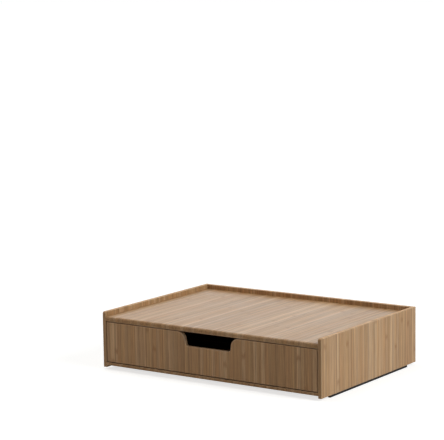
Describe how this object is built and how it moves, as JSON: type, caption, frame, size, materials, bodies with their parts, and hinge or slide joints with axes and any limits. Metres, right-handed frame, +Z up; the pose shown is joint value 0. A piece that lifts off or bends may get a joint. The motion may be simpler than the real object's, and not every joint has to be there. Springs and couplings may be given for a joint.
{
  "type": "monitor stand with drawer",
  "caption": "Low bamboo monitor stand: an open-fronted case with a raised rim on three sides and a full-width drawer with a notched finger pull.",
  "frame": {"origin": "middle of the footprint, on the surface that the stand rests on", "axes": "+X runs across the front to the right as the user sees it, +Y runs from the front to the back, +Z is up"},
  "size_m": [0.35, 0.246, 0.08],
  "materials": {
    "bamboo": "satin lacquer",
    "foam": "matte"
  },
  "bodies": {
    "case": {"side_panel_left": "bamboo", "side_panel_right": "bamboo", "back_panel": "bamboo", "top_panel": "bamboo", "floor_panel": "bamboo", "foot_strip_left": "foam", "foot_strip_right": "foam"},
    "drawer": {"drawer_front": "bamboo", "drawer_side_left": "bamboo", "drawer_side_right": "bamboo", "drawer_back": "bamboo", "drawer_bottom": "bamboo"}
  },
  "joints": [
    {"name": "drawer_slide", "type": "slide", "parent": "case", "child": "drawer", "axis": [0, -1, 0], "range_m": [0, 0.18]}
  ]
}
